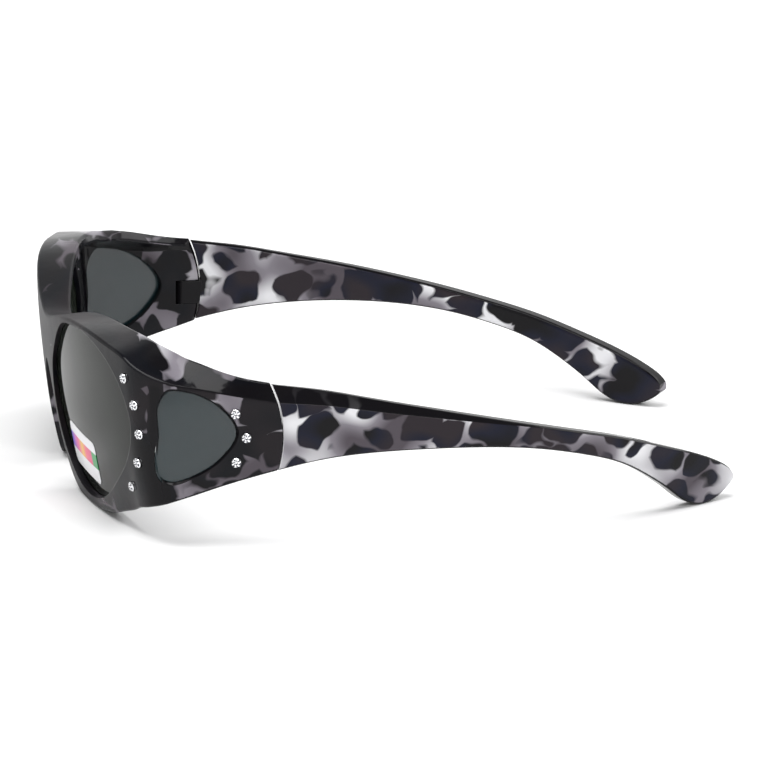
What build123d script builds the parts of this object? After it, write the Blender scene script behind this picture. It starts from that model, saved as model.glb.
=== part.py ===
# Fitover sunglasses: a wide moulded front that wraps round to the sides, two
# main lenses, two side lenses, two temples on moulded hinges with metal pins,
# sixteen set stones and a label on one lens. Millimetres, +X the wearer's left,
# -Y the way the wearer looks, +Z up, lying on a table at z = 0.
from build123d import *
import math
import os

os.makedirs("parts", exist_ok=True)

# Front, seen from above: a wide arc, a tight corner and a nearly straight side
half_width = 71.9
front_reach = 46.2
face_radius = 158.0
corner_radius = 13.0
side_angle = 82.0
fan_start = 0.72
fan_end = 2.5

# Front, seen from the side
front_height = 48.4
face_tilt = 8.0
ledge_depth = 9.5
rim_depth = 4.6
ledge_thickness = 2.8

# Small roundings of the front's mouldings
outer_round = 0.7
inner_round = 0.5

# Lens openings, outlined in the plane square to the lens's own middle
lens_place = 35.5
lens_rise = 24.2
opening_width = 54.0
opening_height = 43.6
opening_depth_share = 1.3
lens_recess = 1.7
lens_thickness = 1.2
lens_lap = 0.6
lens_clearance = 0.06

# Nose arch
arch_height = 29.0
arch_width = 46.0

# Side windows and their lenses
window_y = 28.6
window_z = 27.4
window_length = 18.4
window_height = 21.6
window_bevel = 0.9
side_lens_recess = 1.15
side_lens_thickness = 1.1
side_lens_lap = 0.6
side_lens_clearance = 0.06

# Hinges: a tongue on the temple, a slot in the front, a pin from below
pin_inset = 3.3
pin_y = 44.3
pin_diameter = 1.3
pin_foot = 18.4
pin_length = 14.8
pin_seat = 0.02
pin_clearance = 0.05
tongue_height = 5.7
tongue_radius = 1.55
tongue_middle = 26.4
slot_play = 0.16
joint_reach = 48.7
joint_middle = 27.5
joint_radius = 30.0
joint_gap = 0.25
joint_spread_share = 0.6
joint_relief = 0.6

# Temples
temple_length = 117.8
temple_height = 39.7
temple_inset = 0.2
temple_thickness = 4.2
temple_straight = 24.0
temple_bend = 160.0
temple_round = 0.9
temple_round_share = 0.3

# Bevel along the temple's upper outer edge, fading out behind the joint
bevel_drop = 3.7
bevel_inset = 2.7
bevel_run = 66.0
bevel_least = 0.5

# Stones
stone_diameter = 2.4
stone_depth = 0.8
stone_crown = 0.55
stone_table = 1.3
stone_clearance = 0.05
stone_facets = 8

# Label on the wearer's left lens
label_width = 19.0
label_height = 11.0
label_thickness = 0.12
label_corner = 1.6
label_gap = 0.02
label_aside = -9.0
label_down = -12.4
label_turn = -4.0

overrun = 20.0

# Travel along the plan runs 0 to 1 on the arc, 1 to 2 round the corner and
# 2 to 3 down the side. Heights are shares of the front's height, insets shares
# of the ledge's depth, and walls shares of the rim's depth.
# (travel, crease, top, inset, bottom, wall)
station_shares = (
    (0.00, 0.845, 0.832, 0.72, 0.000, 1.00),
    (0.14, 0.868, 0.872, 0.76, 0.000, 1.00),
    (0.28, 0.915, 0.925, 0.86, 0.000, 1.00),
    (0.42, 0.955, 0.962, 0.93, 0.000, 1.00),
    (0.56, 0.975, 0.984, 0.97, 0.008, 1.00),
    (0.70, 0.975, 0.991, 0.98, 0.032, 1.00),
    (0.85, 0.960, 0.988, 1.04, 0.080, 1.00),
    (1.00, 0.928, 0.970, 1.21, 0.139, 0.97),
    (1.50, 0.875, 0.952, 1.23, 0.183, 0.80),
    (2.00, 0.832, 0.931, 0.98, 0.228, 0.72),
    (2.33, 0.802, 0.900, 0.62, 0.282, 0.70),
    (2.66, 0.772, 0.859, 0.38, 0.337, 0.80),
    (3.00, 0.744, 0.830, 0.30, 0.388, 0.94),
    (3.34, 0.722, 0.810, 0.28, 0.435, 1.00),
)
# Sections per stretch of the plan: the arc, the corner and the side
arc_sections = 8
corner_sections = 6
side_sections = 6
opening_shares = (
    (-0.06, 1.00), (0.53, 0.89), (0.89, 0.55), (1.00, 0.16), (0.83, -0.29), (0.56, -0.60),
    (0.26, -0.86), (-0.09, -1.00), (-0.50, -0.96), (-0.81, -0.67), (-0.98, -0.17),
    (-0.93, 0.27), (-0.73, 0.61), (-0.46, 0.90),
)
window_shares = (
    (-0.80, 0.96), (-1.00, 0.56), (-0.96, 0.09), (-1.00, -0.52), (-0.84, -0.97),
    (-0.11, -0.90), (0.80, -0.29), (1.00, 0.06), (0.68, 0.57), (-0.11, 0.96), (-0.48, 1.02),
)
arch_shares = (
    (1.00, -0.04), (0.74, 0.02), (0.56, 0.11), (0.42, 0.30), (0.31, 0.60), (0.20, 0.88), (0.00, 1.00),
)
# (travel, height) of the stones on the front, top to bottom, then round the window
stone_shares = (
    (1.000, 0.828), (1.282, 0.707), (1.385, 0.563), (1.282, 0.410), (0.975, 0.263),
    (2.642, 0.687), (2.750, 0.567), (2.652, 0.441),
)
# (distance from the joint, top, bottom) down the temple to its tip
temple_shares = (
    (-0.03, 1.018, 0.455), (0.00, 1.000, 0.474), (0.10, 0.957, 0.537), (0.20, 0.897, 0.569),
    (0.32, 0.824, 0.577), (0.44, 0.746, 0.562), (0.56, 0.662, 0.516), (0.66, 0.587, 0.443),
    (0.74, 0.521, 0.355), (0.81, 0.448, 0.224), (0.85, 0.403, 0.131), (0.88, 0.368, 0.055),
    (0.91, 0.330, 0.008), (0.94, 0.287, 0.000), (0.965, 0.245, 0.023), (0.985, 0.203, 0.062),
    (0.998, 0.155, 0.105),
)

# Plan of the front
side = math.radians(side_angle)
arc_centre_radius = face_radius - corner_radius
side_drop = front_reach - face_radius + corner_radius * math.cos(side)
side_span = half_width - corner_radius * math.sin(side) - side_drop / math.tan(side)
front_angle = side - math.acos(side_span * math.sin(side) / arc_centre_radius)
corner_x = arc_centre_radius * math.sin(front_angle)
corner_y = face_radius - arc_centre_radius * math.cos(front_angle)
side_start_x = corner_x + corner_radius * math.sin(side)
side_start_y = corner_y - corner_radius * math.cos(side)
side_length = (front_reach - side_start_y) / math.sin(side)


def plan_point(travel):
    """Point on the plan line and its heading, the angle turned from the middle."""
    reach = abs(travel)
    if reach <= 1:
        heading = front_angle * reach
        x = face_radius * math.sin(heading)
        y = face_radius * (1 - math.cos(heading))
    elif reach <= 2:
        heading = front_angle + (side - front_angle) * (reach - 1)
        x = corner_x + corner_radius * math.sin(heading)
        y = corner_y - corner_radius * math.cos(heading)
    else:
        heading = side
        x = side_start_x + side_length * (reach - 2) * math.cos(side)
        y = side_start_y + side_length * (reach - 2) * math.sin(side)
    return math.copysign(x, travel), y, math.copysign(heading, travel)


def upright_plane(x, y, heading):
    """Upright plane through a plan point: local x points out, local y up."""
    out = Vector(math.sin(heading), -math.cos(heading), 0)
    return Plane(origin=(x, y, 0), x_dir=out, z_dir=out.cross(Vector(0, 0, 1)))


def plan_plane(travel):
    return upright_plane(*plan_point(travel))


def travel_length(travel):
    """Length along the plan line from the middle to a travel."""
    corner_length = corner_radius * (side - front_angle)
    length = face_radius * front_angle * min(travel, 1)
    return length + corner_length * min(max(travel - 1, 0), 1) + side_length * max(travel - 2, 0)


def fan_plane(travel):
    """Plane of a section. Round the corner the sections fan out evenly, so that the
    ledge behind the face turns on a wide curve."""
    x, y, heading = plan_point(travel)
    first, last = travel_length(fan_start), travel_length(fan_end)
    share = (travel_length(abs(travel)) - first) / (last - first)
    if 0 < share < 1:
        start_heading = plan_point(fan_start)[2]
        heading = math.copysign(start_heading + (side - start_heading) * share, travel)
    return upright_plane(x, y, heading)


def face_lean(travel, height):
    """How far the outer face leans in at a height, from the tilt of the front."""
    heading = plan_point(travel)[2]
    return (front_height - height) * math.tan(math.radians(face_tilt)) * math.cos(heading)


def shares_at(travel):
    """Shares at a travel, on a smooth curve through the rows of the station table."""
    rows = station_shares
    index = min(sum(row[0] <= travel for row in rows), len(rows) - 1) - 1
    first, second = rows[index], rows[index + 1]
    before = rows[max(index - 1, 0)]
    after = rows[min(index + 2, len(rows) - 1)]
    step = second[0] - first[0]
    t = (travel - first[0]) / step
    values = []
    for a, b, c, d in zip(before[1:], first[1:], second[1:], after[1:]):
        start_slope = (c - a) / (second[0] - before[0]) * step
        end_slope = (d - b) / (after[0] - first[0]) * step
        drift = start_slope * (t**3 - 2 * t**2 + t) + end_slope * (t**3 - t**2)
        values.append(b + (c - b) * (3 * t**2 - 2 * t**3) + drift)
    return values


def face_line(travel, low, high, foot, depth):
    """Bulged line of the face from low to high, some depth under the outside.

    The bulge belongs to the whole face, which runs from its foot to its crease."""
    crease = shares_at(abs(travel))[0] * front_height
    points = []
    for height in (low, (low + high) / 2, high):
        bulge = (height - foot) * (crease - height) / face_radius / 2
        points.append((bulge - face_lean(travel, height) - depth, height))
    return ThreePointArc(*points)


def front_section(travel):
    """One section of the front: bottom edge, face, crease, ledge and the hollow behind."""
    crease_share, top_share, inset_share, bottom_share, wall_share = shares_at(abs(travel))
    low = bottom_share * front_height
    top = top_share * front_height
    wall = wall_share * rim_depth
    outer = face_line(travel, low, crease_share * front_height, low, 0)
    crease = outer @ 1
    brow = Vector(crease.X - inset_share * ledge_depth, top)
    along = (brow - crease).normalized()
    inward = Vector(-along.Y, along.X)
    brow_in = brow + inward * ledge_thickness
    crease_in = crease + inward * ledge_thickness
    crease_in += along * ((crease.X - wall - crease_in.X) / along.X)
    inner = face_line(travel, low, crease_in.Y, low, wall)
    face = Face(Wire([
        outer,
        Line(crease, brow),
        Line(brow, brow_in),
        Line(brow_in, inner @ 1),
        inner,
        Line(inner @ 0, outer @ 0),
    ]))
    for corner, radius in (
        (outer @ 0, outer_round), (crease, outer_round), (brow, outer_round),
        (brow_in, inner_round), (inner @ 1, inner_round), (inner @ 0, inner_round),
    ):
        face = rounded(face, corner, radius)
    return fan_plane(travel) * face


def spread(first, last, count):
    """Travels from the first up to, but not including, the last."""
    return [first + (last - first) * step / count for step in range(count)]


def rounded(face, point, radius):
    """A section's face with the corner nearest to a point rounded."""
    corner = face.vertices().sort_by_distance(point)[0]
    return face.fillet_2d(radius, [corner])


def outline(shares, length, height):
    """Closed smooth outline from shares of a length and a height."""
    return Spline(*[(u * length / 2, v * height / 2) for u, v in shares], periodic=True)


def slab(plane, shares, length, height, grow):
    """Solid through a plane with an outline grown by so much all round."""
    face = Face(Wire([outline(shares, length + grow * 2, height + grow * 2)]))
    return extrude(plane * face, amount=overrun, both=True)


def window_face(depth, grow):
    """Face of the side window at a depth under the wall, grown by so much all round."""
    line = outline(window_shares, window_length + grow * 2, window_height + grow * 2)
    return window_plane * Pos(0, 0, -depth) * Face(Wire([line]))


def ball(radius):
    """Solid ball about the centre that the front's face and both lenses share."""
    return Pos(*face_centre) * Sphere(radius)


def temple_section(away, top_share, bottom_share):
    """One section of the temple, square to its bow: a rounded bar with one bevelled edge."""
    run = away * temple_length
    turn = math.asin(max(run - temple_straight, 0) / temple_bend)
    x = half_width - temple_inset - temple_bend * (1 - math.cos(turn))
    out = Vector(math.cos(turn), math.sin(turn), 0)
    plane = Plane(origin=(x, front_reach + run, 0), x_dir=out, z_dir=out.cross(Vector(0, 0, 1)))
    top = top_share * temple_height
    low = bottom_share * temple_height
    fade = max(1 - max(run, 0) / bevel_run, 0)
    drop = bevel_least + (bevel_drop - bevel_least) * fade
    inset = bevel_least + (bevel_inset - bevel_least) * fade
    corners = [(0, low), (0, top - drop), (-inset, top), (-temple_thickness, top), (-temple_thickness, low)]
    face = Face(Wire(Polyline(*corners, close=True).edges()))
    radius = min(temple_round, (top - low) * temple_round_share)
    small = min(bevel_least / 2, radius)
    for point, size in zip(corners, (radius, small, small, radius, radius)):
        face = rounded(face, (*point, 0), size)
    return plane * face


def cut_both_sides(solid, tools):
    """A solid with each tool cut from it, and then the tool's mirror image."""
    for tool in tools:
        solid -= tool
        solid -= mirrored(tool)
    return solid


def mirrored(shape):
    return mirror(shape, about=Plane.YZ)


# Front, lofted from the wearer's right joint to the left one
last_travel = station_shares[-1][0]
travels = spread(0, 1, arc_sections) + spread(1, 2, corner_sections)
travels += spread(2, last_travel, side_sections) + [last_travel]
front = loft([front_section(travel) for travel in [-t for t in travels[:0:-1]] + travels])

# Curved ends at the joints
joint_axis_y = joint_reach - joint_radius
joint_low = joint_middle - joint_radius * joint_spread_share
joint_high = joint_middle + joint_radius * joint_spread_share
joint_corner_y = joint_axis_y + joint_radius * math.sqrt(1 - joint_spread_share**2)
end_arc = ThreePointArc(
    (joint_corner_y, joint_low), (joint_reach, joint_middle), (joint_corner_y, joint_high)
)
end_face = Wire([
    end_arc,
    *Polyline(
        end_arc @ 1, (joint_corner_y + overrun, joint_high), (joint_corner_y + overrun, joint_low), end_arc @ 0
    ).edges(),
])
front -= extrude(Plane.YZ * Face(end_face), amount=half_width * 2, both=True)

# Nose arch
arch_points = [(u * arch_width / 2, v * arch_height) for u, v in arch_shares]
arch_line = Spline(*arch_points, *[(-u, v) for u, v in reversed(arch_points[:-1])])
arch = Wire([arch_line, Line(arch_line @ 1, arch_line @ 0)])
front -= extrude(Plane.XZ * Face(arch), amount=overrun * 2, both=True)

# Where the stones go: the point and the outward direction of the untouched face
stone_seats = []
for travel, height_share in stone_shares:
    plane = plan_plane(travel)
    start = plane.from_local_coords((overrun, height_share * front_height, 0))
    point, normal = front.find_intersection_points(Axis(start, -plane.x_dir))[0]
    stone_seats.append(Plane(origin=point, z_dir=normal))

# Main lenses, sheets of a ball under the ball of the face
face_bulge = front_height**2 / face_radius / 8
tilt = math.radians(face_tilt)
face_centre = Vector(
    0,
    face_lean(0, lens_rise) - face_bulge + face_radius * math.cos(tilt),
    lens_rise + face_radius * math.sin(tilt),
)
lens_radius = face_radius - lens_recess
lens_deep = math.sqrt(face_radius**2 - lens_place**2 - (face_centre.Z - lens_rise) ** 2)
lens_middle = Vector(lens_place, face_centre.Y - lens_deep, lens_rise)
lens_out = (lens_middle - face_centre).normalized()
lens_plane = Plane(origin=lens_middle, x_dir=Vector(0, 0, 1).cross(lens_out), z_dir=lens_out)
opening_size = (opening_shares, opening_width, opening_height)
lens_blank = slab(lens_plane, *opening_size, lens_lap)
main_lens = lens_blank & (ball(lens_radius) - ball(lens_radius - lens_thickness))
groove_sheet = ball(lens_radius + lens_clearance) - ball(lens_radius - lens_thickness - lens_clearance)
groove = slab(lens_plane, *opening_size, lens_lap + lens_clearance) & groove_sheet
opening_back = face_radius - rim_depth * opening_depth_share
opening = slab(lens_plane, *opening_size, 0) & (ball(face_radius * 2) - ball(opening_back))
front = cut_both_sides(front, [opening, groove])

# Side lenses, flat sheets let into the side wall from inside
window_travel = 2 + (window_y - side_start_y) / (front_reach - side_start_y)
window_frame = plan_plane(window_travel)
window_low = shares_at(window_travel)[3] * front_height
window_bulge = (face_line(window_travel, window_low, window_z, window_low, 0) @ 1).X
window_plane = Plane(
    origin=window_frame.from_local_coords((window_bulge, window_z, 0)),
    x_dir=-window_frame.z_dir,
    z_dir=window_frame.x_dir,
)
side_lens = extrude(window_face(side_lens_recess, side_lens_lap), amount=-side_lens_thickness)
rebate = extrude(
    window_face(side_lens_recess - side_lens_clearance, side_lens_lap + side_lens_clearance), amount=-rim_depth
)
bevel = loft([window_face(side_lens_recess, 0), window_face(-side_lens_recess, window_bevel * 2)])
front = cut_both_sides(front, [bevel, rebate])

# Hinge slots and pin bores
pin_x = half_width - pin_inset
slot_height = tongue_height + slot_play * 2
slot = Pos(pin_x + tongue_radius + slot_play, pin_y - tongue_radius - slot_play, tongue_middle) * Box(
    overrun, overrun, slot_height, align=(Align.MAX, Align.MIN, Align.CENTER)
)
pin_place = Pos(pin_x, pin_y, pin_foot)
upright = (Align.CENTER, Align.CENTER, Align.MIN)
hinge_pin = pin_place * Cylinder(pin_diameter / 2, pin_length, align=upright)
pin_bore = pin_place * Cylinder(pin_diameter / 2 + pin_seat, pin_length + pin_seat, align=upright)
pin_mouth = Pos(pin_x, pin_y, 0) * Cylinder(pin_diameter / 2 + pin_seat, pin_foot, align=upright)
relief = extrude(
    Pos(pin_x - joint_relief - rim_depth, -rim_depth, 0) * (Plane.YZ * Face(end_face)),
    amount=math.hypot(rim_depth, rim_depth),
    dir=(1, 1, 0),
)
front = cut_both_sides(front, [slot, pin_bore, pin_mouth, relief])

# Stones and their pockets
girdle = Pos(0, 0, -stone_depth) * Cylinder(stone_diameter / 2, stone_depth, align=upright)
facets = RegularPolygon(stone_diameter / 2, stone_facets)
table = Pos(0, 0, stone_crown) * RegularPolygon(stone_table / 2, stone_facets, rotation=180 / stone_facets)
stone = girdle + loft([facets.face(), table.face()])
pocket = Pos(0, 0, -stone_depth - stone_clearance) * Cylinder(
    stone_diameter / 2 + stone_clearance, stone_depth * 2, align=upright
)
stones = [seat * stone for seat in stone_seats]
pockets = [seat * pocket for seat in stone_seats]
front = cut_both_sides(front, pockets)

# Temple, lofted from the joint to the tip, with a hollow end and a hinge tongue
temple = loft([temple_section(*row) for row in temple_shares])
temple -= Pos(0, joint_axis_y, joint_middle) * Rot(0, 90, 0) * Cylinder(
    joint_radius + joint_gap, half_width * 3
)
tongue_reach = joint_reach + joint_gap * 2 - pin_y
tongue = Pos(pin_x, pin_y, tongue_middle) * (
    Cylinder(tongue_radius, tongue_height)
    + Box(tongue_radius * 2, tongue_reach, tongue_height, align=(Align.CENTER, Align.MIN, Align.CENTER))
)
tongue_bore = Pos(pin_x, pin_y, tongue_middle) * Cylinder(pin_diameter / 2 + pin_clearance, tongue_height * 2)
temple = temple + tongue - tongue_bore

# Label, a thin curved sheet on the lens
label_plane = lens_plane * Pos(label_aside, label_down, 0) * Rot(0, 0, label_turn)
label_face = RectangleRounded(label_width, label_height, label_corner)
label_sheet = ball(lens_radius + label_gap + label_thickness) - ball(lens_radius + label_gap)
lens_sticker = extrude(label_plane * label_face, amount=overrun, both=True) & label_sheet

pieces = {
    "frame_front": front,
    "main_lens_left": main_lens,
    "main_lens_right": mirrored(main_lens),
    "side_lens_left": side_lens,
    "side_lens_right": mirrored(side_lens),
    "temple_left": temple,
    "temple_right": mirrored(temple),
    "hinge_pin_left": hinge_pin,
    "hinge_pin_right": mirrored(hinge_pin),
    "lens_sticker": lens_sticker,
}
for number, gem in enumerate(stones, start=1):
    pieces[f"rhinestone_left_{number}"] = gem
    pieces[f"rhinestone_right_{number}"] = mirrored(gem)

# The origin is under the middle of the whole, on the table
whole = Compound(children=[Compound(piece.solids()) for piece in pieces.values()]).bounding_box()
to_origin = Pos(-whole.center().X, -whole.center().Y, -whole.min.Z)
for name, piece in pieces.items():
    export_step(to_origin * piece, f"parts/{name}.step")
    print(name, len(piece.solids()), round(piece.volume, 2), piece.is_valid)
print("whole", whole.size)
print("pin left", to_origin * Pos(pin_x, pin_y, tongue_middle))
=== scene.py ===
# Fitover sunglasses on a white table, in metres, in the frame of the solids:
# +X the wearer's left, -Y the way the wearer looks, +Z up, the table at z = 0.
import math
import bpy
from mathutils import Matrix, Vector


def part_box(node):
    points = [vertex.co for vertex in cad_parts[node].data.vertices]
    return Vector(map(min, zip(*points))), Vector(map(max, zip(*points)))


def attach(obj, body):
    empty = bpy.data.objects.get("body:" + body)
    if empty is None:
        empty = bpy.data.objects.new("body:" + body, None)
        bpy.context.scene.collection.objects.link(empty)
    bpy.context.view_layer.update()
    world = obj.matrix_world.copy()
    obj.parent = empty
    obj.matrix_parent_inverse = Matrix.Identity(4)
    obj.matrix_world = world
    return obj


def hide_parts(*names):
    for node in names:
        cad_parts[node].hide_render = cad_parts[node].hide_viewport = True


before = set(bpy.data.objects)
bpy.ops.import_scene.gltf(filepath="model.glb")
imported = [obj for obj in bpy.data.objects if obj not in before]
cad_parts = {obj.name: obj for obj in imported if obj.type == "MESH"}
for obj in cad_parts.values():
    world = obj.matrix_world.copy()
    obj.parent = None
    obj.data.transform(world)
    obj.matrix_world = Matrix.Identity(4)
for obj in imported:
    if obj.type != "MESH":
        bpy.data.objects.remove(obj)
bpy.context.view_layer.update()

# Camera: a long lens on the wearer's left, a little above the table, so that the
# far temple shows over the near one.
camera = bpy.data.objects.new("camera", bpy.data.cameras.new("camera"))
bpy.context.scene.collection.objects.link(camera)
camera.data.lens = 382.07
camera.data.sensor_width = 36
camera.data.clip_end = 20
camera.location = (1.897525, -0.314387, 0.552206)
camera.rotation_euler = [math.radians(turn) for turn in (74.5246, -0.5921, 80.6875)]
bpy.context.scene.camera = camera


# Front: one injection-moulded shell of glossy plastic in a marbled animal pattern, soft
# charcoal blots over a pale milky grey. It is nearly all charcoal round the main lenses,
# and the pale veins show mostly on the side shields.
black = (0, 0, 0, 1)
full = (1, 1, 1, 1)


class Value:
    """A socket: arithmetic on it lays down the Math nodes."""

    def __init__(self, nodes, socket):
        self.nodes = nodes
        self.socket = socket

    def math(self, operation, other=0.0):
        return self.nodes.math(operation, self, other)

    def __add__(self, other):
        return self.math("ADD", other)

    def __sub__(self, other):
        return self.math("SUBTRACT", other)

    def __rsub__(self, other):
        return self.nodes.math("SUBTRACT", other, self)

    def __mul__(self, other):
        return self.math("MULTIPLY", other)

    def __abs__(self):
        return self.math("ABSOLUTE")

    __radd__ = __add__
    __rmul__ = __mul__


class Nodes:
    """A node tree, filled by one method."""

    def __init__(self, tree):
        self.tree = tree

    def node(self, kind, settings, sockets, output=0):
        """A node of a kind: its settings first, then the values or links of its sockets."""
        node = self.tree.nodes.new(kind)
        for setting, value in settings.items():
            if setting == "stops":
                ramp = node.color_ramp
                ramp.elements[0].position, ramp.elements[0].color = value[0]
                ramp.elements[1].position, ramp.elements[1].color = value[-1]
                for place, colour in value[1:-1]:
                    ramp.elements.new(place).color = colour
            else:
                setattr(node, setting, value)
        for socket, value in sockets.items():
            self.join(value, node.inputs[socket])
        return Value(self, node.outputs[output])

    def join(self, value, socket):
        if isinstance(value, Value):
            self.tree.links.new(value.socket, socket)
        else:
            socket.default_value = value

    def math(self, operation, first, second):
        return self.node("ShaderNodeMath", {"operation": operation}, {0: first, 1: second})

    def vector(self, operation, *inputs, output=0):
        return self.node("ShaderNodeVectorMath", {"operation": operation}, dict(enumerate(inputs)), output)

    def part(self, vector, axis):
        return self.node("ShaderNodeSeparateXYZ", {}, {0: vector}, axis)

    def place(self):
        """Object coordinates, the same as the solids' frame because no object is moved."""
        return self.node("ShaderNodeTexCoord", {}, {}, "Object")

    def facing(self):
        """The way the surface faces."""
        return self.node("ShaderNodeNewGeometry", {}, {}, "Normal")

    def noise(self, place, scale, detail=1.0):
        return self.node("ShaderNodeTexNoise", {}, {"Vector": place, "Scale": scale, "Detail": detail})

    def ramp(self, value, *stops):
        return self.node("ShaderNodeValToRGB", {"stops": stops}, {0: value})

    def blend(self, share, first, second):
        """One colour turning into another by a share."""
        return self.node("ShaderNodeMix", {"data_type": "RGBA"}, {0: share, 6: first, 7: second}, 2)

    def rays(self, *kinds):
        """1 for rays of these kinds and 0 for the rest."""
        share = self.node("ShaderNodeLightPath", {}, {}, kinds[0])
        for kind in kinds[1:]:
            share = share.math("MAXIMUM", self.node("ShaderNodeLightPath", {}, {}, kind))
        return share


class Finish(Nodes):
    """A material. What is the same all over stands on the shader's own sockets."""

    def __init__(self, name, **constants):
        self.material = bpy.data.materials.new(name)
        self.material.use_nodes = True
        super().__init__(self.material.node_tree)
        self.set(**constants)

    def set(self, **sockets):
        shader = self.tree.nodes["Principled BSDF"]
        for socket, value in sockets.items():
            self.join(value, shader.inputs[socket.replace("_", " ")])

    def dress(self, *names):
        """Puts this material on solids in place of the one they came with."""
        for name in names:
            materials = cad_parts[name].data.materials
            materials.clear()
            materials.append(self.material)


charcoal = (0.0045, 0.0040, 0.0050, 1)
slate = (0.0040, 0.0045, 0.0065, 1)
umber = (0.0120, 0.0095, 0.0115, 1)
dusk = (0.075, 0.064, 0.076, 1)
haze = (0.20, 0.185, 0.21, 1)
milk = (0.70, 0.70, 0.72, 1)
plastic_gloss = 0.05
plastic_shine = 0.14
moulded_round = 0.00035


def marble(finish, cell, start, inks, vein_from, tones, extra=0.0):
    """Blots of charcoal with pale veins between them, widest where three blots meet."""
    blot_stretch = (0.45, 1, 1.2)
    blot_spread = 0.45
    border_weight = 1.3
    mottle = 0.9
    vein_edge = 0.12
    other_place = (0.3, 0.1, 0.2)
    stretched = {"Vector": finish.place(), "Location": start, "Scale": blot_stretch}
    flat = finish.node("ShaderNodeMapping", {}, stretched)
    swirl = {"Vector": flat, "Scale": cell * 1.2, "Detail": 1.5}
    drift = finish.node("ShaderNodeTexNoise", {}, swirl, "Color")
    bent = finish.vector("MULTIPLY_ADD", drift, (0.8 / cell,) * 3, flat)
    cells = {"Vector": bent, "Scale": cell, "Randomness": 0.95}
    middle = finish.node("ShaderNodeTexVoronoi", {"feature": "F1"}, cells)
    border = finish.node("ShaderNodeTexVoronoi", {"feature": "DISTANCE_TO_EDGE"}, cells)
    shade = middle - border * border_weight + finish.noise(flat, cell * 0.6) * mottle - blot_spread + extra
    ink = finish.ramp(finish.noise(flat, cell * 0.7), (0.36, inks[0]), (0.46, inks[1]), (0.60, inks[2]))
    tone = finish.noise(finish.vector("ADD", flat, other_place), cell * 0.55)
    pale = finish.ramp(tone, (tones[0], dusk), (tones[1], haze), (tones[2], milk))
    veins = finish.ramp(shade, (vein_from, black), (vein_from + vein_edge, full))
    return finish.blend(veins, ink, pale)


def polish(finish, colour, roughness):
    """Moulded gloss: a trace of ripple and handling marks, and edges as soft as the mould's."""
    wear = finish.noise(finish.place(), 160, 3.0)
    soft_edge = finish.node("ShaderNodeBevel", {"samples": 6}, {"Radius": moulded_round})
    ripple = finish.noise(finish.place(), 420, 2.0)
    waves = {"Strength": 0.08, "Distance": 0.0004, "Height": ripple, "Normal": soft_edge}
    surface = finish.node("ShaderNodeBump", {}, waves)
    finish.set(Base_Color=colour, Roughness=wear * 0.08 + roughness, Normal=surface)


# Pale places beside and over the side lenses: how far back and how high, and their size.
pale_places = (
    ((0, -0.0650, 0.0390), (0.0022, 0.0070)),
    ((0, -0.0457, 0.0375), (0.0030, 0.0060)),
    ((0, -0.0636, 0.0158), (0.0030, 0.0030)),
    ((0, -0.0420, 0.0195), (0.0030, 0.0045)),
    ((0, -0.0600, 0.0470), (0.0070, 0.0026)),
)
place_paleness = 0.42
shield_paleness = 0.20
handled_roughness = 0.35

front_plastic = Finish("front_plastic", IOR=1.5, Specular_IOR_Level=plastic_shine)
here = front_plastic.place()
paleness = 0.0
for middle, (length, rise) in pale_places:
    away = front_plastic.vector("SUBTRACT", here, middle)
    away = front_plastic.vector("MULTIPLY", away, (0, 1 / length, 1 / rise))
    inside = (1 - front_plastic.vector("LENGTH", away, output="Value")).math("MAXIMUM", 0.0)
    paleness = inside * place_paleness + paleness

# The stops of a ramp lie between 0 and 1, so places in metres are taken times ten, and
# plus one where they are negative.
tenfold = 10
how_far_back = front_plastic.part(here, "Y") * tenfold + 1
how_high = front_plastic.part(here, "Z") * tenfold
from_nose = abs(front_plastic.part(here, "X")) * tenfold
shield = front_plastic.ramp(how_far_back, (0.322, black), (0.345, full))

# The sloping edge all round the side lens stays black: below the brow ledge, behind the
# front strip, and turned away from the shield's own face.
window_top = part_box("side_lens_left")[1][2] * tenfold
below_ledge = front_plastic.ramp(how_high, (window_top, full), (window_top + 0.02, black))
sideways = abs(front_plastic.part(front_plastic.facing(), "X"))
turned = front_plastic.ramp(sideways, (0.90, full), (0.945, black))
behind_strip = front_plastic.ramp(how_far_back, (0.350, black), (0.356, full))
bevel = behind_strip * below_ledge * turned
paleness = paleness + shield * shield_paleness - shield_paleness - bevel
handled = front_plastic.ramp(from_nose, (0.30, full), (0.48, black))
veined = marble(
    front_plastic, cell=90, start=(0.02, 0.013, 0.004), inks=(charcoal, slate, umber),
    vein_from=0.54, tones=(0.40, 0.58, 0.80), extra=paleness,
)
front_colour = front_plastic.blend(bevel, veined, charcoal)
polish(front_plastic, front_colour, handled * handled_roughness + plastic_gloss)
front_plastic.dress("frame_front")

# Temples: moulded arms of the same plastic, more open in pattern, with dark rounded
# edges above and below, and a painted highlight, milky white, along the outside edge where
# it meets the joint, for light shining through the clear plastic there.
plum = (0.021, 0.016, 0.020, 1)
navy = (0.008, 0.009, 0.020, 1)
joint_middle = (0, -0.063715, 0.0275665)
joint_radius = 0.030
millimetres = 1000
outward_scale = 30

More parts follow.
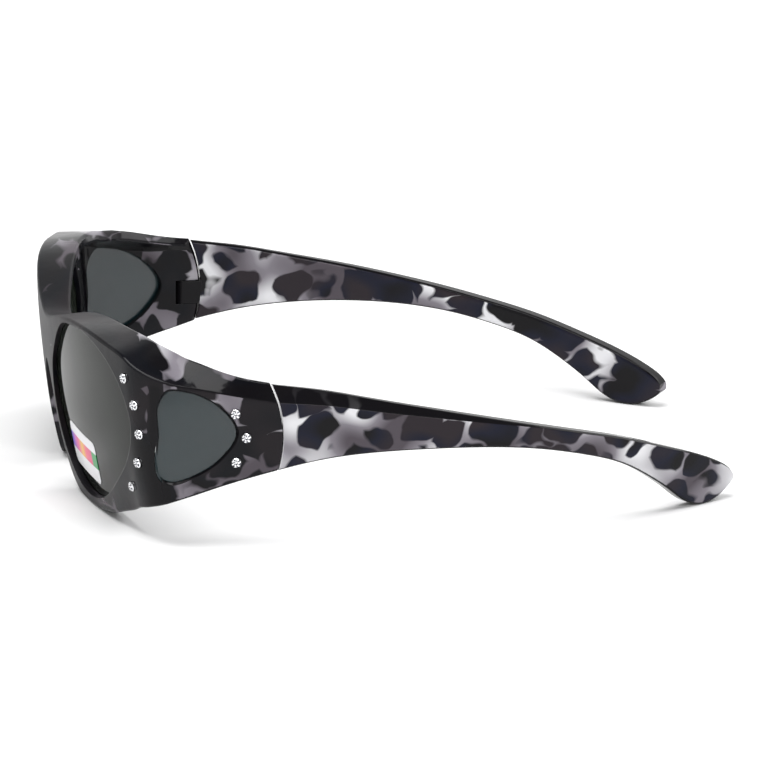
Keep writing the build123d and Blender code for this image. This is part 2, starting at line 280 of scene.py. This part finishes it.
temple_plastic = Finish("temple_plastic", IOR=1.5, Specular_IOR_Level=plastic_shine)
arm = marble(
    temple_plastic, cell=98, start=(0, 0.004, 0), inks=(charcoal, navy, plum),
    vein_from=0.40, tones=(0.34, 0.46, 0.60),
)
facing = temple_plastic.facing()
rim = temple_plastic.ramp(abs(temple_plastic.part(facing, "Z")), (0.40, black), (0.60, full))
arm = temple_plastic.blend(rim, arm, charcoal)
side_on = temple_plastic.vector("MULTIPLY", temple_plastic.place(), (0, 1, 1))
from_middle = temple_plastic.vector("DISTANCE", side_on, joint_middle, output="Value")
from_joint = (from_middle - joint_radius) * millimetres
outward = temple_plastic.part(facing, "X") * temple_plastic.part(temple_plastic.place(), "X")
outside = temple_plastic.ramp(outward * outward_scale, (0.5, black), (0.8, full))
# Painted highlight: a thin milky line on the outside face just behind the joint, for light coming through
# the clear edge.
painted_joint_highlight = temple_plastic.ramp(from_joint, (0.22, black), (0.24, full), (0.34, full), (0.42, black))
arm = temple_plastic.blend(outside * painted_joint_highlight, arm, milk)
tongue = temple_plastic.ramp(from_joint, (0.16, full), (0.20, black))
polish(temple_plastic, temple_plastic.blend(tongue, arm, charcoal), plastic_gloss)
temple_plastic.dress("temple_left", "temple_right")

# Main lenses: dark curved sheets, grey with a touch of green, snapped into the groove
# of the front. They let almost no light through.
lens_deep = (0.008, 0.010, 0.008, 1)
lens_light = (0.013, 0.016, 0.012, 1)
lens_tint = Finish("lens_tint", Roughness=0.05, IOR=1.5, Specular_IOR_Level=0.14, Alpha=0.96)
lens_cloud = lens_tint.noise(lens_tint.place(), 25)
lens_tint.set(Base_Color=lens_tint.ramp(lens_cloud, (0.3, lens_deep), (0.7, lens_light)))
lens_tint.dress("main_lens_left", "main_lens_right")

# Side lenses: flat sheets in a bluer grey, let into a rebate from inside. They are
# thinner in tint than the main lenses, so that some light comes through.
side_deep = (0.005, 0.017, 0.021, 1)
side_light = (0.007, 0.020, 0.024, 1)
side_tint = Finish("side_tint", Roughness=0.09, IOR=1.5, Specular_IOR_Level=0.15, Alpha=0.78)
side_cloud = side_tint.noise(side_tint.place(), 60)
side_tint.set(Base_Color=side_tint.ramp(side_cloud, (0.3, side_deep), (0.7, side_light)))
side_tint.dress("side_lens_left", "side_lens_right")

# Hinge pins: short pieces of drawn steel wire, pressed up into the front through the
# hinge tongue, which turns on them. Drawing leaves fine marks along the wire.
steel_dull = (0.45, 0.45, 0.44, 1)
steel_bright = (0.68, 0.68, 0.66, 1)
along_wire = (1, 1, 0.05)
steel = Finish("steel", Metallic=1.0, IOR=2.5)
wire = steel.node("ShaderNodeMapping", {}, {"Vector": steel.place(), "Scale": along_wire})
drawn = steel.noise(wire, 9000, 2.0)
steel_colour = steel.ramp(drawn, (0.3, steel_dull), (0.7, steel_bright))
steel.set(Base_Color=steel_colour, Roughness=drawn * 0.2 + 0.15)
steel.dress("hinge_pin_left", "hinge_pin_right")

# Stones: foil-backed faceted glass, glued into pockets. One is cut here, with its
# girdle at z = 0, and a copy is set in each pocket. Each ring of the crown has its
# rise, its width against the ring below, and its turn.
stones_a_side = 8
stone_sides = 16
facet_turn = 360 / stone_sides / 2
stone_depth = 0.00078
pocket_radius = 0.00116
crown_rings = (
    (0.00004, 1.07, 0),
    (0.00024, 0.88, facet_turn),
    (0.00016, 0.68, facet_turn),
    (0.00001, 0.5, 0),
)
# Painted reflections: the tones of the facets, bright and dark in turn, and the light tone of the rim
# facets.
facet_reflections = (1.0, 0.02, 0.8, 0.02, 0.95, 0.3, 0.02, 1.0, 0.05, 0.9, 0.45, 0.02, 1.0)
rim_reflection = 0.85
rim_share = 0.95

bpy.ops.object.select_all(action="DESELECT")
bpy.ops.mesh.primitive_cylinder_add(
    vertices=stone_sides, radius=pocket_radius, depth=stone_depth, location=(0, 0, -stone_depth / 2)
)
cut_stone = bpy.context.object
bpy.ops.object.mode_set(mode="EDIT")
bpy.ops.mesh.select_all(action="DESELECT")
bpy.ops.mesh.select_mode(type="FACE")
bpy.ops.object.mode_set(mode="OBJECT")
for face in cut_stone.data.polygons:
    face.select = face.normal.z > 0.9
bpy.ops.object.mode_set(mode="EDIT")
level = 0
for rise, shrink, turn in crown_rings:
    level += rise
    bpy.ops.mesh.extrude_region_move(TRANSFORM_OT_translate={"value": (0, 0, rise)})
    bpy.ops.transform.resize(value=(shrink, shrink, 1), center_override=(0, 0, level))
    bpy.ops.transform.rotate(value=math.radians(turn), orient_axis="Z", center_override=(0, 0, level))
bpy.ops.mesh.select_all(action="SELECT")
bpy.ops.mesh.quads_convert_to_tris()
bpy.ops.object.mode_set(mode="OBJECT")


def ring_and_turn(face):
    """Where a facet is: ring by ring up the stone, then round the ring, then outwards."""
    micron = 1e-6
    turn = round(math.degrees(math.atan2(face.center.y, face.center.x)), 2) % 360
    return round(face.center.z / micron), turn, round(face.center.xy.length / micron)


# The facets' tones are painted reflections: dark, grey and white facets in turn stand for the
# sparkle of the stones, and the rim facets are light. The facets come in no fixed order, so they get their
# tones by place.
tones = cut_stone.data.attributes.new("facet_tone", "FLOAT", "FACE")
for count, face in enumerate(sorted(cut_stone.data.polygons, key=ring_and_turn)):
    at_rim = face.center.xy.length > pocket_radius * rim_share
    tones.data[face.index].value = rim_reflection if at_rim else facet_reflections[count % len(facet_reflections)]

# Painted reflections: the stones' metallic colour runs from dark through grey to white with each facet's
# tone.
reflection_dark = (0.02, 0.02, 0.03, 1)
reflection_grey = (0.45, 0.47, 0.52, 1)
crystal = Finish("crystal", Roughness=0.08, Metallic=1.0, IOR=2.0)
facet = crystal.node("ShaderNodeAttribute", {"attribute_name": "facet_tone"}, {}, "Fac")
crystal.set(Base_Color=crystal.ramp(facet, (0.0, reflection_dark), (0.5, reflection_grey), (1.0, full)))
cut_stone.data.materials.append(crystal.material)

for side in ("left", "right"):
    for number in range(1, stones_a_side + 1):
        name = f"rhinestone_{side}_{number}"
        planes = {}
        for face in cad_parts[name].data.polygons:
            planes.setdefault(tuple(round(part, 2) for part in face.normal), []).append(face)
        back = max(planes.values(), key=lambda faces: sum(face.area for face in faces))
        out = -back[0].normal
        area = sum(face.area for face in back)
        seat = sum((face.center * face.area for face in back), Vector()) / area + out * stone_depth
        stone = bpy.data.objects.new(f"cut_{name}", cut_stone.data.copy())
        bpy.context.scene.collection.objects.link(stone)
        stone.data.transform(Matrix.Translation(seat) @ out.to_track_quat("Z", "Y").to_matrix().to_4x4())
        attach(stone, "front")
        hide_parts(name)
bpy.data.objects.remove(cut_stone)

# Label: a printed film stuck on the wearer's left lens, white with a band of colours
# across its middle. Its lengthwise and upright directions lie along the lens.
label_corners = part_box("lens_sticker")
label_middle = (label_corners[0] + label_corners[1]) / 2
label_along = Vector((0.9693, 0.2358, -0.0691)).normalized()
label_up = Vector((0.0995, -0.1194, 0.9879)).normalized()
label_white = (0.86, 0.86, 0.88, 1)
print_scale = 52
band_scale = 90

label_print = Finish("label_print", Roughness=0.3, IOR=1.45, Specular_IOR_Level=0.4)
label_place = label_print.vector("SUBTRACT", label_print.place(), label_middle)
along = label_print.vector("DOT_PRODUCT", label_place, label_along, output="Value")
upward = label_print.vector("DOT_PRODUCT", label_place, label_up, output="Value")
colours = label_print.ramp(
    along * print_scale + 0.5,
    (0.02, (0.10, 0.10, 0.62, 1)),
    (0.16, (0.55, 0.12, 0.55, 1)),
    (0.30, (0.85, 0.10, 0.28, 1)),
    (0.46, (0.90, 0.55, 0.05, 1)),
    (0.60, (0.85, 0.10, 0.20, 1)),
    (0.80, (0.75, 0.05, 0.20, 1)),
    (0.84, (0.02, 0.33, 0.09, 1)),
)
across = upward * band_scale + 0.5
band = label_print.ramp(across, (0.37, black), (0.39, full), (0.73, full), (0.75, black))
label_print.set(Base_Color=label_print.blend(band, label_white, colours))
label_print.dress("lens_sticker")

# Table: a wide white board. Away from the middle it turns to plain white for what the
# camera sees, straight on, mirrored or through a lens, so that no horizon shows.
table_white = (0.92, 0.92, 0.92, 1)
table_size = 12
sweep_from = 0.35
sweep_to = 0.75

bpy.ops.object.select_all(action="DESELECT")
bpy.ops.mesh.primitive_plane_add(size=table_size, location=(0, 0, 0))
table = bpy.context.object
table.name = "table"
white = Finish("white_table", Roughness=0.7, Base_Color=table_white, Specular_IOR_Level=0.0)
reach = white.vector("LENGTH", white.place(), output="Value")
sweep = white.ramp((reach - sweep_from) * (1 / (sweep_to - sweep_from)), (0, black), (1, full))
glow = white.node("ShaderNodeEmission", {}, {"Color": full, "Strength": 1.0})
share = sweep * white.rays("Is Camera Ray", "Is Glossy Ray", "Is Transmission Ray")
lit = Value(white, white.tree.nodes["Principled BSDF"].outputs[0])
mixed = white.node("ShaderNodeMixShader", {}, {0: share, 1: lit, 2: glow})
white.join(mixed, white.tree.nodes["Material Output"].inputs["Surface"])
table.data.materials.append(white.material)

# Light: three large soft lamps, above, behind and beside, in a white room whose ceiling
# is darker, so that the glossy tops stay dark.
for name, place, size, strength in (
    ("top_lamp", (0.10, -0.25, 1.20), 0.9, 15),
    ("back_lamp", (-0.30, 0.90, 0.90), 0.8, 7),
    ("side_lamp", (1.10, 0.45, 0.75), 0.6, 5),
):
    lamp = bpy.data.objects.new(name, bpy.data.lights.new(name, "AREA"))
    bpy.context.scene.collection.objects.link(lamp)
    lamp.data.size = size
    lamp.data.energy = strength
    lamp.location = place
    lamp.rotation_euler = Vector(place).to_track_quat("Z", "Y").to_euler()

ceiling_grey = (0.15, 0.15, 0.16, 1)
room_strength = 0.6
seen_strength = 0.4
world = bpy.data.worlds.new("studio")
bpy.context.scene.world = world
world.use_nodes = True
room = Nodes(world.node_tree)
height = room.part(room.node("ShaderNodeTexCoord", {}, {}, "Generated"), "Z")
ceiling = room.ramp(height, (0.45, full), (0.85, ceiling_grey))
seen = room.rays("Is Camera Ray", "Is Glossy Ray", "Is Transmission Ray")
sky = world.node_tree.nodes["Background"]
room.join(room.blend(room.rays("Is Camera Ray"), ceiling, full), sky.inputs["Color"])
room.join(seen * seen_strength + room_strength, sky.inputs["Strength"])
bpy.context.scene.view_settings.view_transform = "Standard"
